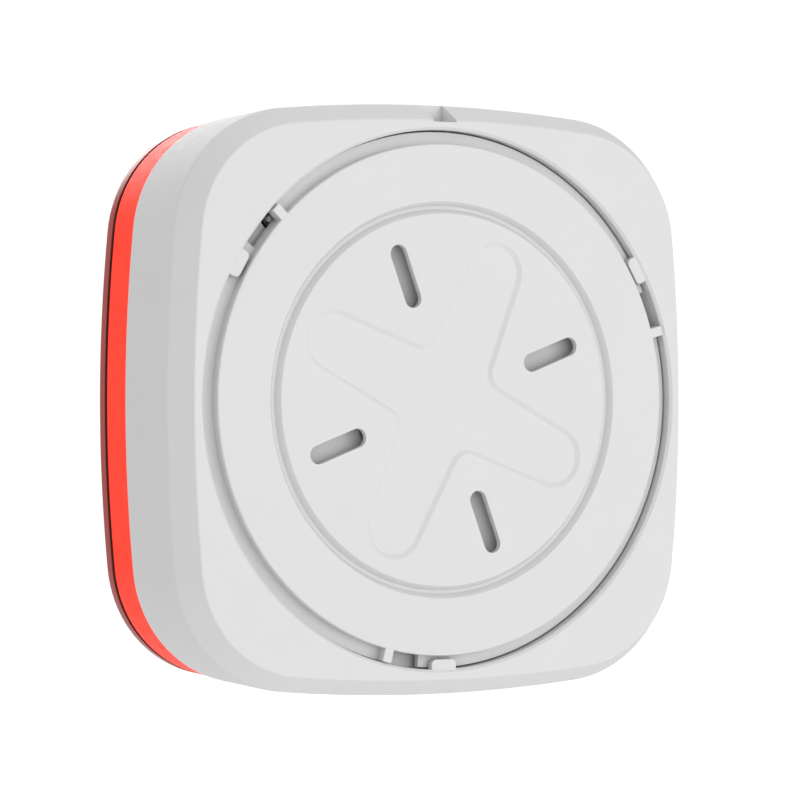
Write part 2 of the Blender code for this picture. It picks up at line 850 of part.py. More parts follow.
def antenna(body):
    """A stamped strip bent into an F, standing on the board."""
    base = BOARD_FRONT_Y - GAP
    top = base - 7.5
    steps = [
        (-52, top),
        (-52, top + 1.6),
        (-30, top + 1.6),
        (-30, base),
        (-28.2, base),
        (-28.2, top + 1.6),
        (-25.4, top + 1.6),
        (-25.4, base),
        (-23.6, base),
        (-23.6, top),
    ]
    bm = bmesh.new()
    loft(bm, [[(x, y, z) for x, y in steps] for z in (-38.3, -37.7)], closed=False)
    return finish("antenna", bm, brass(), body=body)


def sounder_body(body):
    base = BOARD_FRONT_Y - GAP
    front = FRONT_Y + 2.6
    radius = SOUNDER_RADIUS
    profile = [
        (0, base),
        (radius, base),
        (radius, front + 1),
        (radius - 1, front),
        (5, front),
        (5, front + 1.4),
        (radius - 1.5, front + 1.4),
        (radius - 1.5, base - 1.5),
        (0, base - 1.5),
    ]
    bm = bmesh.new()
    turn_profile(bm, profile, 24)
    return finish("sounder_body", bm, black_plastic(), SOUNDER_X, 0, SOUNDER_Z, body)


def sounder_disc(body):
    bm = bmesh.new()
    cylinder(bm, SOUNDER_RADIUS - 1.9, -40, -40.6, 24)
    return finish("sounder_disc", bm, brass(), SOUNDER_X, 0, SOUNDER_Z, body)


def status_light_pipe(body):
    profile = [
        (0, FRONT_Y - 0.4),
        (1.6, FRONT_Y - 0.3),
        (2.2, FRONT_Y + 0.2),
        (2.2, FRONT_Y + 2.5),
        (3.4, FRONT_Y + 2.5),
        (3.4, FRONT_Y + 3.3),
        (2.2, FRONT_Y + 3.3),
        (2.2, -33),
        (0, -33),
    ]
    bm = bmesh.new()
    turn_profile(bm, profile, 12)
    return finish("status_light_pipe", bm, clear_plastic(), 0, 0, LENS_Z, body)


# ---------------------------------------------------------------- buttons


def test_button(body):
    """The front push button: a dished cap, a retaining collar and a stem."""
    radius = BUTTON_RADIUS
    profile = [
        (0, FRONT_Y - 0.5),
        (radius - 2.2, FRONT_Y - 0.8),
        (radius - 0.6, FRONT_Y - 0.9),
        (radius, FRONT_Y - 0.3),
        (radius, FRONT_Y + 2.4),
        (radius + 1.4, FRONT_Y + 2.4),
        (radius + 1.4, FRONT_Y + 3.6),
        (1.8, FRONT_Y + 3.6),
        (1.8, -36.4),
        (0, -36.4),
    ]
    bm = bmesh.new()
    turn_profile(bm, profile, 24)
    return finish("test_button", bm, white_plastic(), 0, 0, BUTTON_Z, body)


def tamper_bush(body):
    """The black sleeve that guides the tamper plunger through the floor of the recess."""
    x, z = tamper_place()
    profile = [
        (1.95, -7.3),
        (2.5, -7.3),
        (2.5, CAVITY_Y - GAP),
        (4.6, CAVITY_Y - GAP),
        (4.6, -16.5),
        (3.7, -16.5),
        (3.7, -10.8),
        (1.95, -10.8),
    ]
    bm = bmesh.new()
    turn_profile(bm, profile, 16)
    return finish("tamper_bush", bm, black_plastic(), x, 0, z, body)


def tamper_plunger(body):
    """The slim round-ended pin that stands in the black sleeve, with its collar and stem."""
    x, z = tamper_place()
    profile = [
        (0, -6.3),
        (0.6, -6.4),
        (1.1, -6.9),
        (1.1, -9.3),
        (1.6, -9.3),
        (1.6, -11.1),
        (3.3, -11.1),
        (3.3, -12.7),
        (1.2, -12.7),
        (1.2, -22.3),
        (0, -22.3),
    ]
    bm = bmesh.new()
    turn_profile(bm, profile, 16)
    return finish("tamper_plunger", bm, white_plastic(), x, 0, z, body)


def power_button(body):
    x, z = power_place()
    profile = [
        (0, -6.4),
        (2.6, -6.4),
        (3, -6.8),
        (3, CAVITY_Y - 0.4),
        (4.2, CAVITY_Y - 0.4),
        (4.2, CAVITY_Y - 1.4),
        (1.5, CAVITY_Y - 1.4),
        (1.5, -23.2),
        (0, -23.2),
    ]
    bm = bmesh.new()
    turn_profile(bm, profile, 16)
    return finish("power_button", bm, black_plastic(), x, 0, z, body)


# ---------------------------------------------------------------- power


def battery_hatch(body):
    """The round battery cover with a coin slot and two lugs behind the floor."""
    top = -8.0
    under = CAVITY_Y - 0.9
    bm = bmesh.new()
    cylinder(bm, HATCH_RADIUS - GAP, top, under, 40)
    hatch = finish("battery_hatch", bm, white_plastic(), body=body)
    lugs = bmesh.new()
    box(lugs, -25.4, 25.4, CAVITY_Y - 0.3, under - 0.2, -4, 4)
    boolean(hatch, helper("hatch_lugs", lugs), "UNION")
    slot = bmesh.new()
    box(slot, -9, 9, top + 1, top - 0.9, -1.1, 1.1)
    boolean(hatch, helper("hatch_coin_slot", slot), "DIFFERENCE")
    return hatch


def battery_holder(body):
    rim = -10.6
    floor = BOARD_REAR_Y + GAP
    profile = [(23.3, rim), (24.6, rim), (24.6, floor), (0, floor), (0, floor + 1.5), (23.3, floor + 1.5)]
    bm = bmesh.new()
    turn_profile(bm, profile, 32)
    return finish("battery_holder", bm, black_plastic(), body=body)


def battery(name, body, z, way):
    """A round lithium cell lying along X, with its raised pole at the given end."""
    radius = CELL_RADIUS
    profile = [
        (0, -13),
        (radius - 0.8, -13),
        (radius, -12.4),
        (radius, 12.2),
        (radius - 0.6, 12.8),
        (2.6, 12.8),
        (2.6, 13.6),
        (0, 13.6),
    ]
    bm = bmesh.new()
    turn_profile(bm, profile, 18)
    spin = Matrix.Rotation(-way * math.pi / 2, 3, "Z")
    bmesh.ops.rotate(bm, verts=bm.verts, cent=(0, 0, 0), matrix=spin)
    return finish(name, bm, cell_sleeve(), 0, -18.5, z, body)


def battery_contacts(body):
    small_box("battery_contact_1", body, brass(), (0.5, 9, 8), 14.3, -18.5, 8.2)
    small_box("battery_contact_2", body, brass(), (0.5, 9, 8), -14.3, -18.5, -8.2)
    coil("battery_spring_1", steel(), -17.4, -18.5, 8.2, 3.4, 2.2, 3.6, 3, 0.35, body, along_x=True)
    coil("battery_spring_2", steel(), 13.8, -18.5, -8.2, 2.2, 3.4, 3.6, 3, 0.35, body, along_x=True)


# ---------------------------------------------------------------- assembly


def build():
    clear_scene()
    mounting_plate()
    body = bpy.data.objects.new("twist_axis", None)
    bpy.context.scene.collection.objects.link(body)

    rear_housing(body)
    light_frame(body)
    panel_seal(body)
    front_panel(body)
    inlet_grille(body)
    insect_screen(body)

    chamber_base(body)
    chamber_cap(body)
    chamber_diode("ir_emitter", body, 180, clear_plastic())
    chamber_diode("photodiode", body, 50, black_plastic())

    main_board(body)
    led_board(body)
    alarm_leds(body)
    small_box("radio_module", body, steel(), (18, 2.6, 14), 36, BOARD_FRONT_Y - GAP - 1.3, -36)
    small_box("microcontroller", body, black_plastic(), (9, 1.2, 9), 40, BOARD_FRONT_Y - GAP - 0.6, 14)
    antenna(body)
    sounder_body(body)
    sounder_disc(body)
    status_light_pipe(body)
    small_box("status_led", body, led_body(), (3, 1.6, 2), 0, BOARD_FRONT_Y - GAP - 0.8, LENS_Z)

    test_button(body)
    coil("test_spring", steel(), 0, -47.5, BUTTON_Z, 2.6, 2.6, 12.4, 6, 0.35, body)
    tact_switch("test_switch", body, 0, BUTTON_Z, BOARD_FRONT_Y - GAP, -1, 4.7)

    tamper_bush(body)
    tamper_plunger(body)
    x, z = tamper_place()
    coil("tamper_spring", steel(), x, -24.3, z, 2.3, 2.3, 11.0, 6, 0.3, body)
    tact_switch("tamper_switch", body, x, z, BOARD_REAR_Y + GAP, 1, 4.0)

    power_button(body)
    x, z = power_place()
    tact_switch("power_switch", body, x, z, BOARD_REAR_Y + GAP, 1, 3.6)

    battery_hatch(body)
    battery_holder(body)
    battery("battery_1", body, 8.2, 1)
    battery("battery_2", body, -8.2, -1)
    battery_contacts(body)

    for number, (x, z) in enumerate(case_screw_places(), 1):
        pan_screw(f"case_screw_{number}", body, x, z, RECESS_FLOOR_Y - 0.4, 2.9, 1.4, 35.0)
    for number, (x, z) in enumerate(board_screw_places(), 1):
        pan_screw(f"board_screw_{number}", body, x, z, BOARD_FRONT_Y - GAP - 1.9, 2.4, 0.95, -10.0)


build()
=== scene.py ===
"""Looks of the square smoke alarm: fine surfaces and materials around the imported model.

The wall lies in the plane y = 0, the room is on the -Y side and +Z is up. Sizes named here are in
millimetres, as in the part's source, and MM turns them into metres.
"""

import json
import math

import bmesh
import bpy
from mathutils import Matrix, Vector


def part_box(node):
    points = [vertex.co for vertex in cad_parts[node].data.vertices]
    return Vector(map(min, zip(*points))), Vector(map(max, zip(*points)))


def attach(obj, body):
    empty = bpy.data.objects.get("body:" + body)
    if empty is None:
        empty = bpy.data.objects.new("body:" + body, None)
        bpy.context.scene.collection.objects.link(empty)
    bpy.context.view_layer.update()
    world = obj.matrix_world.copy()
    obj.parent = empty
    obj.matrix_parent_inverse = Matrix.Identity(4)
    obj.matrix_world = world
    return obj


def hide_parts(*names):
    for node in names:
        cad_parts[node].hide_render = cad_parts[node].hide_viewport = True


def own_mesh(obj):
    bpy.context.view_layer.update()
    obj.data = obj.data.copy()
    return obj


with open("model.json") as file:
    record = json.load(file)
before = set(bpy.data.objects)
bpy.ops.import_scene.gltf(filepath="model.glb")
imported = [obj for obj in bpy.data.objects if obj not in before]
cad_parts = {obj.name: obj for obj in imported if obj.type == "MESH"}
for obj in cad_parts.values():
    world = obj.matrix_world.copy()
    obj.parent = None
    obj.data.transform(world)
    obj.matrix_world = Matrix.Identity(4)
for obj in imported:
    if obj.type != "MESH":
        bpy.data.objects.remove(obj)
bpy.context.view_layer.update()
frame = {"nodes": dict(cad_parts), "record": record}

MM = 0.001


def span(node, axis):
    """Lowest and highest coordinate of a CAD node along one axis, in millimetres."""
    low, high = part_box(node)
    return low[axis] / MM, high[axis] / MM


# Levels along Y and half widths, read from the frame.
HOUSING_RIM_Y, BACK_Y = span("rear_housing", 1)
HALF = span("rear_housing", 0)[1]
FRAME_END_Y, FRAME_START_Y = span("light_frame", 1)
FRAME_HALF = span("light_frame", 0)[1]
SEAL_END_Y, SEAL_START_Y = span("panel_seal", 1)
SEAL_HALF = span("panel_seal", 0)[1]
FRONT_Y, PANEL_START_Y = span("front_panel", 1)
PANEL_HALF = span("front_panel", 0)[1]
PLATE_FRONT_Y = span("mounting_plate", 1)[0]
GRILLE_FRONT_Y = span("inlet_grille", 1)[0]

# Case outline: a square with slightly bowed sides and round corners.
SIDE_RADIUS = 436.0
CORNER_RADIUS = 33.0
SIDE_STEPS = 20
CORNER_STEPS = 20
WALL = 2.0
BACK_HALF = 70.8
CHAMFER_Y = -7.7

# Round recess and what lies in its floor.
RECESS_RADIUS = 68.3
RECESS_CHAMFER = 0.7
RECESS_FLOOR_Y = -7.0
CAVITY_Y = -9.0
PAD_RADIUS = 46.0
PAD_HEIGHT = 1.4
HATCH_RADIUS = 23.5

# Mounting plate.
DISC_RADIUS = 64.7
FLANGE_RADIUS = 67.9
FLANGE_Y = -3.45
PLATE_THICK = 1.7
GROOVE_INNER = 47.1
GROOVE_OUTER = 50.2
GROOVE_DEPTH = 1.8
GROOVE_WALL = 1.15
RIDGE_BACK_Y = -2.8
CROSS_DEPTH = 1.0
CROSS_WALL = 1.08
CROSS_CAP_RADIUS = 7.84
CROSS_CAP_AT = 35.5
CROSS_FILLET = 4.05
CROSS_TAPER = math.radians(4.0)
CROSS_ANGLE = 65.5
SLOT_ANGLE = 20.5
SLOT_RADIUS = 33.15
SLOT_WIDTH = 4.7
SLOT_LENGTH = 16.6

# Bayonet, three times round. Angles are counted anticlockwise as seen from the wall.
HOOK_ANGLE = 30.0
HOOK_WIDTH = 7.2
HOOK_INNER = 65.6
HOOK_START_Y = -0.95
HOOK_THICK = 2.15
HOOK_CORNER = 1.4
NOTCH_FROM = 16.0
NOTCH_TO = 24.6
RIB_ANGLE = 15.5
RIB_WIDTH = 2.5
RIB_END = 68.0
RIB_CORNER = 0.4

# Notch in the top of the back chamfer.
KEY_HALF_WIDTH = 3.4
KEY_START_Z = 70.3
KEY_FLOOR_Y = -8.3

# Openings of the recess floor.
SCREW_SEAT_RADIUS = 3.3
SCREW_SEAT_DEPTH = 2.9
TAMPER_HOLE = 2.8
POWER_HOLE = 3.3
LUG_REACH = 26.2
LUG_HALF_WIDTH = 5.0
LUG_TURN = math.radians(45)

# Fittings.
CASE_SCREW_AT = 62.0
TAMPER_X, TAMPER_Z = (sum(span("tamper_plunger", axis)) / 2 for axis in (0, 2))
POWER_X, POWER_Z = (sum(span("power_button", axis)) / 2 for axis in (0, 2))
BUTTON_Z = sum(span("test_button", 2)) / 2
LENS_Z = sum(span("status_light_pipe", 2)) / 2
SOUNDER_X, SOUNDER_Z = (sum(span("sounder_body", axis)) / 2 for axis in (0, 2))
BUTTON_RADIUS = 7.5
BUTTON_GAP = 0.4
BUTTON_PROUD = 0.9
BUTTON_POST = 1.8
BUTTON_POST_END_Y = -36.4
LENS_HOLE = 2.6
SOUNDER_ROWS = 5
SOUNDER_PITCH = 4.2
SOUNDER_REACH = 10.0
SOUNDER_STEP = 1.6
SOUNDER_SLOT = 1.8
FRAME_INNER_HALF = 70.0
SEAL_INNER_HALF = 70.3
COVER_EDGE = 2.4

# Inlet drum and the insect screen in it.
INLET_HOLE = 30.7
INLET_GAP = 0.35
INLET_WALL = (27.0, 29.0)
INLET_CAP_RADIUS = 31.0
INLET_END_Y = -46.5
INLET_SLOTS = 20
INLET_SLOT_Y = (-57.7, -53.4)
INLET_SLOT_HALF = 1.8
MESH_RADIUS = 26.4
MESH_WAVE = 0.07
MESH_AROUND = 150
MESH_ALONG = 11
MESH_WIRE = 0.17

# Tamper pin and its sleeve.
PIN_TIP_Y = -6.3
PIN_END_Y = -22.3
SLEEVE_HOLE = 1.95
SLEEVE_TOP_Y = -7.3
SLEEVE_END_Y = -16.5

# Press springs: turns and wire radius.
SPRING_TURNS = 7
TEST_WIRE = 0.35
TAMPER_WIRE = 0.3

# Studio, in metres and watts.
FLOOR_Z = -0.3
FLOOR_HALF = 6.0
FLOOR_SEEN = 1.1
WORLD_LIGHT = 0.6
WORLD_SEEN = 1.05
SOFT_BOXES = (
    ("box_back", (0.3, 1.98, 0.0), 1.2, 7.0),
    ("box_side", (-0.9, 1.8, 0.3), 1.2, 7.6),
    ("box_top", (0.3, -0.9, 1.35), 1.0, 2.0),
    ("box_front", (-0.3, -1.75, 0.98), 1.2, 12.0),
)
LENS_MM = 177.3
CAMERA_AT = (0.5040, 0.8594, 0.0)
CAMERA_AIM = (0.00026, -0.02305, -0.00006)


# ---------------------------------------------------------------- geometry helpers


def at_angle(radius, degrees):
    """A point (x, z) at an angle counted anticlockwise as seen from the wall, where +X is on the left."""
    turn = math.radians(degrees)
    return -radius * math.cos(turn), radius * math.sin(turn)


def squircle(half, y):
    """The case outline, offset inwards from HALF to the given half width, at depth y."""
    inset = HALF - half
    side = SIDE_RADIUS - inset
    corner = CORNER_RADIUS - inset
    side_centre = half - side
    reach = side - corner
    corner_at = (side_centre + math.sqrt(2 * reach * reach - side_centre * side_centre)) / 2
    split = math.atan2(corner_at, corner_at - side_centre)
    quadrant = []
    for step in range(SIDE_STEPS + 1):
        turn = split * (2 * step / SIDE_STEPS - 1)
        quadrant.append((side_centre + side * math.cos(turn), side * math.sin(turn)))
    for step in range(1, CORNER_STEPS):
        turn = split + (math.pi / 2 - 2 * split) * step / CORNER_STEPS
        quadrant.append((corner_at + corner * math.cos(turn), corner_at + corner * math.sin(turn)))
    loop = []
    for quarter in range(4):
        spin = Matrix.Rotation(quarter * math.pi / 2, 2)
        for point in quadrant:
            turned_point = spin @ Vector(point)
            loop.append((turned_point.x, y, turned_point.y))
    return loop


def round_loop(radius, y):
    """A circle whose points lie on the same rays as those of the case outline."""
    loop = []
    for x, _, z in squircle(HALF, y):
        scale = radius / math.hypot(x, z)
        loop.append((x * scale, y, z * scale))
    return loop


def rounded(profile, closed=True):
    """Replaces each corner (u, v, radius) of an outline by an arc of that radius."""
    points = []
    count = len(profile)
    for index, (u, v, radius) in enumerate(profile):
        here = Vector((u, v))
        ends = not closed and index in (0, count - 1)
        if not radius or ends:
            points.append((u, v))
            continue
        before = (Vector(profile[index - 1][:2]) - here).normalized()
        after = (Vector(profile[(index + 1) % count][:2]) - here).normalized()
        half = before.angle(after) / 2
        trim = radius / math.tan(half)
        centre = here + (before + after).normalized() * (radius / math.sin(half))
        start = here + before * trim - centre
        end = here + after * trim - centre
        sweep = start.angle_signed(end)
        steps = max(2, math.ceil(math.degrees(abs(sweep)) / 18))
        for step in range(steps + 1):
            turned_point = Matrix.Rotation(-sweep * step / steps, 2) @ start
            points.append(tuple(centre + turned_point))
    return points


def loft(bm, loops, closed):
    """Bridges loops of equal length. A closed loft joins the last to the first; an open one gets end caps."""
    rings = [[bm.verts.new(point) for point in loop] for loop in loops]
    pairs = list(zip(rings, rings[1:]))
    if closed:
        pairs.append((rings[-1], rings[0]))
    else:
        bm.faces.new(rings[0])
        bm.faces.new(list(reversed(rings[-1])))
    count = len(rings[0])
    for first, second in pairs:
        for here in range(count):
            there = (here + 1) % count
            bm.faces.new((first[here], second[here], second[there], first[there]))


def turn_profile(bm, profile, segments, x=0.0, z=0.0):
    """Spins a closed outline of (radius, y) points about the line through (x, z) along Y."""
    before = set(bm.verts)
    corners = [bm.verts.new((radius, y, 0)) for radius, y in profile]
    edges = []
    for first, last in zip(corners, corners[1:] + corners[:1]):
        if first.co.x or last.co.x:
            edges.append(bm.edges.new((first, last)))
    bmesh.ops.spin(
        bm,
        geom=corners + edges,
        cent=(0, 0, 0),
        axis=(0, 1, 0),
        angle=2 * math.pi,
        steps=segments,
        use_merge=True,
    )
    turned = [vert for vert in bm.verts if vert not in before]
    bmesh.ops.remove_doubles(bm, verts=turned, dist=1e-5)
    turned = [vert for vert in bm.verts if vert not in before]
    bmesh.ops.translate(bm, verts=turned, vec=(x, 0, z))


def cylinder(bm, radius, near, far, segments, x=0.0, z=0.0):
    turn_profile(bm, [(0, near), (radius, near), (radius, far), (0, far)], segments, x, z)


def box(bm, x_from, x_to, y_from, y_to, z_from, z_to, turn=0.0):
    """A box along the axes, then turned by an angle about the Y axis through the origin."""
    centre = Vector(((x_from + x_to) / 2, (y_from + y_to) / 2, (z_from + z_to) / 2))
    size = Vector((abs(x_to - x_from), abs(y_to - y_from), abs(z_to - z_from)))
    place = Matrix.Rotation(turn, 4, "Y") @ Matrix.Translation(centre) @ Matrix.Diagonal((*size, 1))
    bmesh.ops.create_cube(bm, size=1.0, matrix=place)


def stack(bm, outline, levels):
    """A closed prism along Y whose outline, a function of its inset, changes from level to level."""
    loft(bm, [[(x, y, z) for x, z in outline(inset)] for inset, y in levels], closed=False)


def bar_outline(length_from, length_to, width, degrees, steps=12):
    """A function of the inset, giving a bar along a ray with a half round at each end."""

    def outline(inset):
        radius = width / 2 - inset
        points = []
        for end, start in ((length_to - width / 2, -90), (length_from + width / 2, 90)):
            for step in range(steps + 1):
                turn = math.radians(start + 180 * step / steps)
                along = end + radius * math.cos(turn)
                across = radius * math.sin(turn)
                x, z = at_angle(1, degrees)
                side_x, side_z = at_angle(1, degrees + 90)
                points.append((x * along + side_x * across, z * along + side_z * across))
        return points

    return outline


def sector_outline(inner, outer, start, end, steps=6):
    """A function of the inset, giving a piece of a ring between two angles."""

    def outline(inset):
        points = []
        for radius, first, last in ((outer, start, end), (inner, end, start)):
            for step in range(steps + 1):
                points.append(at_angle(radius, first + (last - first) * step / steps))
        return points

    return outline


def on_ray(flat, angle):
    """Turns points (along, across) a ray at the given angle into (x, z) points."""
    ray = at_angle(1, angle)
    side = at_angle(1, angle + 90)
    return [(ray[0] * u + side[0] * v, ray[1] * u + side[1] * v) for u, v in flat]


def hook_outline(angle):
    """A function of the inset, giving a tab with rounded inner corners, rooted in the recess wall."""

    def outline(inset):
        outer = RECESS_RADIUS + 0.9
        half = HOOK_WIDTH / 2 - inset
        inner = HOOK_INNER + inset
        corner = HOOK_CORNER - inset
        flat = [(outer, -half, 0), (outer, half, 0), (inner, half, corner), (inner, -half, corner)]
        return on_ray(rounded(flat), angle)

    return outline


def rib_outline(angle):
    """A function of the inset, giving a rib across the gap round the disc, with eased outer corners."""

    def outline(inset):
        inner = DISC_RADIUS - 1.2
        outer = RIB_END - inset
        half = RIB_WIDTH / 2 - inset
        flat = [(inner, -half, 0), (outer, -half, RIB_CORNER), (outer, half, RIB_CORNER), (inner, half, 0)]
        return on_ray(rounded(flat), angle)

    return outline


def cross_outline(inset):
    """The four-armed recess: round arm ends, tapering arms and filleted inner corners."""
    cap = CROSS_CAP_RADIUS - inset
    fillet = CROSS_FILLET + inset
    side_distance = CROSS_CAP_AT * math.sin(CROSS_TAPER) + CROSS_CAP_RADIUS
    share = (math.sin(CROSS_TAPER) + math.cos(CROSS_TAPER)) / math.sqrt(2)
    fillet_at = (side_distance + CROSS_FILLET) / share
    half_turn = 90 - math.degrees(CROSS_TAPER)
    points = []
    for arm in range(4):
        angle = CROSS_ANGLE + 90 * arm
        centre = at_angle(CROSS_CAP_AT, angle)
        for step in range(25):
            x, z = at_angle(cap, angle + half_turn * (step / 12 - 1))
            points.append((centre[0] + x, centre[1] + z))
        centre = at_angle(fillet_at, angle + 45)
        for step in range(9):
            turn = angle + 45 + 180 + (half_turn - 45) * (1 - step / 4)
            x, z = at_angle(fillet, turn)
            points.append((centre[0] + x, centre[1] + z))
    return points


def to_object(name, bm, smooth_under=32):
    """Turns a bmesh held in millimetres into an object whose flat faces stay flat and round ones smooth."""
    bmesh.ops.remove_doubles(bm, verts=bm.verts, dist=1e-4)
    bmesh.ops.recalc_face_normals(bm, faces=bm.faces)
    bmesh.ops.scale(bm, vec=(MM, MM, MM), verts=bm.verts)
    mesh = bpy.data.meshes.new(name)
    bm.to_mesh(mesh)
    bm.free()
    mesh.shade_smooth()
    mesh.set_sharp_from_angle(angle=math.radians(smooth_under))
    obj = bpy.data.objects.new(name, mesh)
    bpy.context.scene.collection.objects.link(obj)
    return obj


def carve(target, bm, operation="DIFFERENCE", smooth_under=32):
    """Cuts the shape in bm from the target, or joins it on, and keeps the result as plain mesh."""
    tool = to_object("tool", bm)
    step = target.modifiers.new("carve", "BOOLEAN")
    step.operation = operation
    step.solver = "EXACT"
    step.object = tool
    graph = bpy.context.evaluated_depsgraph_get()
    mesh = bpy.data.meshes.new_from_object(target.evaluated_get(graph))
    target.modifiers.clear()
    mesh.name = target.name
    target.data = mesh
    bpy.data.objects.remove(tool)
    mesh.shade_smooth()
    mesh.set_sharp_from_angle(angle=math.radians(smooth_under))


def piece(obj, look, body, slot, *nodes):
    """Gives a finished piece its material and ties it to the frame."""
    obj.data.materials.clear()
    obj.data.materials.append(look)
    if obj.type == "MESH":
        even = obj.modifiers.new("even_normals", "WEIGHTED_NORMAL")
        even.keep_sharp = True
        even.weight = 90
    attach(obj, body)
    if nodes:
        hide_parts(*nodes)
    return obj


# ---------------------------------------------------------------- materials


def material(name):
    made = bpy.data.materials.new(name)
    made.use_nodes = True
    nodes = made.node_tree.nodes
    return made, nodes, made.node_tree.links, nodes["Principled BSDF"]


def coordinates(nodes, links, stretch=(1, 1, 1)):
    """Object coordinates, stretched per axis."""
    where = nodes.new("ShaderNodeTexCoord")
    mapping = nodes.new("ShaderNodeMapping")
    mapping.inputs["Scale"].default_value = stretch
    links.new(where.outputs["Object"], mapping.inputs["Vector"])
    return mapping.outputs["Vector"]


def noise(nodes, links, vector, scale, detail=3.0):
    made = nodes.new("ShaderNodeTexNoise")
    made.inputs["Scale"].default_value = scale
    made.inputs["Detail"].default_value = detail
    links.new(vector, made.inputs["Vector"])
    return made.outputs["Fac"]


def ramp(nodes, links, factor, low, high, start=0.3, end=0.7):
    """A colour that runs from low to high as the factor goes from start to end."""
    made = nodes.new("ShaderNodeValToRGB")
    made.color_ramp.elements[0].position = start
    made.color_ramp.elements[0].color = (*low, 1)
    made.color_ramp.elements[1].position = end
    made.color_ramp.elements[1].color = (*high, 1)
    links.new(factor, made.inputs["Fac"])
    return made.outputs["Color"]


def spread(nodes, links, factor, low, high):
    """A number that runs from low to high with the factor."""
    made = nodes.new("ShaderNodeMapRange")
    made.inputs["From Min"].default_value = 0.3
    made.inputs["From Max"].default_value = 0.7
    made.inputs["To Min"].default_value = low
    made.inputs["To Max"].default_value = high
    links.new(factor, made.inputs["Value"])
    return made.outputs["Result"]


def bump(nodes, links, height, distance, strength=1.0):
    made = nodes.new("ShaderNodeBump")
    made.inputs["Distance"].default_value = distance
    made.inputs["Strength"].default_value = strength
    links.new(height, made.inputs["Height"])
    return made.outputs["Normal"]


def painted_crevice_shade(nodes, links, tone):
    """Painted shade: darkens a tone a little in grooves and gaps, as far as nearby surfaces close them in."""
    near = nodes.new("ShaderNodeAmbientOcclusion")
    near.inputs["Distance"].default_value = 0.004
    near.samples = 8
    shade = ramp(nodes, links, near.outputs["AO"], (0.74, 0.74, 0.74), (1, 1, 1), 0.15, 0.85)
    mix = nodes.new("ShaderNodeMix")
    mix.data_type = "RGBA"
    mix.blend_type = "MULTIPLY"
    mix.inputs["Factor"].default_value = 1.0
    first, second = (socket for socket in mix.inputs if socket.type == "RGBA")
    links.new(tone, first)
    links.new(shade, second)
    return next(socket for socket in mix.outputs if socket.type == "RGBA")


def moulded(name, colour, shade, roughness, grain, depth, **settings):
    """Moulded plastic: a faint cloudy change of tone, painted shade in grooves and gaps, uneven gloss and a
    fine moulded grain.
    """
    made, nodes, links, shader = material(name)
    where = coordinates(nodes, links)
    cloud = noise(nodes, links, where, 45.0)
    tone = ramp(nodes, links, cloud, tuple(value * shade for value in colour), colour)
    # The base colour carries painted shade in grooves and gaps.
    links.new(painted_crevice_shade(nodes, links, tone), shader.inputs["Base Color"])
    gloss = spread(nodes, links, noise(nodes, links, where, 260.0), roughness - 0.05, roughness + 0.05)
    links.new(gloss, shader.inputs["Roughness"])
    links.new(bump(nodes, links, noise(nodes, links, where, grain), depth), shader.inputs["Normal"])
    for socket, value in settings.items():
        shader.inputs[socket.replace("_", " ")].default_value = value
    return made


def metal(name, colour, shade, roughness, stretch):
    """Rolled or turned metal: fine lines along one direction and slightly uneven polish."""
    made, nodes, links, shader = material(name)
    where = coordinates(nodes, links, stretch)
    lines = noise(nodes, links, where, 900.0, 4.0)
    tone = ramp(nodes, links, lines, tuple(value * shade for value in colour), colour)
    links.new(tone, shader.inputs["Base Color"])
    gloss = spread(nodes, links, noise(nodes, links, where, 120.0), roughness - 0.06, roughness + 0.08)
    links.new(gloss, shader.inputs["Roughness"])
    links.new(bump(nodes, links, lines, 0.000004), shader.inputs["Normal"])
    shader.inputs["Metallic"].default_value = 1.0
    return made


def red_glow():
    """The red diffuser: lit from inside, with a fine speckle in the plastic."""
    made, nodes, links, shader = material("red_diffuser")
    where = coordinates(nodes, links)
    speckle = noise(nodes, links, where, 3200.0, 2.0)
    waves = noise(nodes, links, where, 500.0)
    tone = ramp(nodes, links, speckle, (0.82, 0.026, 0.008), (0.95, 0.038, 0.013), 0.35, 0.65)
    links.new(tone, shader.inputs["Base Color"])
    links.new(tone, shader.inputs["Emission Color"])
    shader.inputs["Emission Strength"].default_value = 0.6
    shader.inputs["Specular IOR Level"].default_value = 0.14
    gloss = spread(nodes, links, noise(nodes, links, where, 300.0), 0.4, 0.48)
    links.new(gloss, shader.inputs["Roughness"])
    links.new(bump(nodes, links, waves, 0.000004), shader.inputs["Normal"])
    return made


def smoked_cover():
    """Dark smoked plastic with a deep red tint and a polished skin."""
    made, nodes, links, shader = material("smoked_cover")
    where = coordinates(nodes, links)
    cloud = noise(nodes, links, where, 60.0)
    tone = ramp(nodes, links, cloud, (0.45, 0.06, 0.05), (0.485, 0.066, 0.054))
    links.new(tone, shader.inputs["Base Color"])
    gloss = spread(nodes, links, noise(nodes, links, where, 220.0), 0.2, 0.3)
    links.new(gloss, shader.inputs["Roughness"])
    links.new(bump(nodes, links, noise(nodes, links, where, 500.0), 0.000004), shader.inputs["Normal"])
    shader.inputs["Specular IOR Level"].default_value = 0.2
    return made


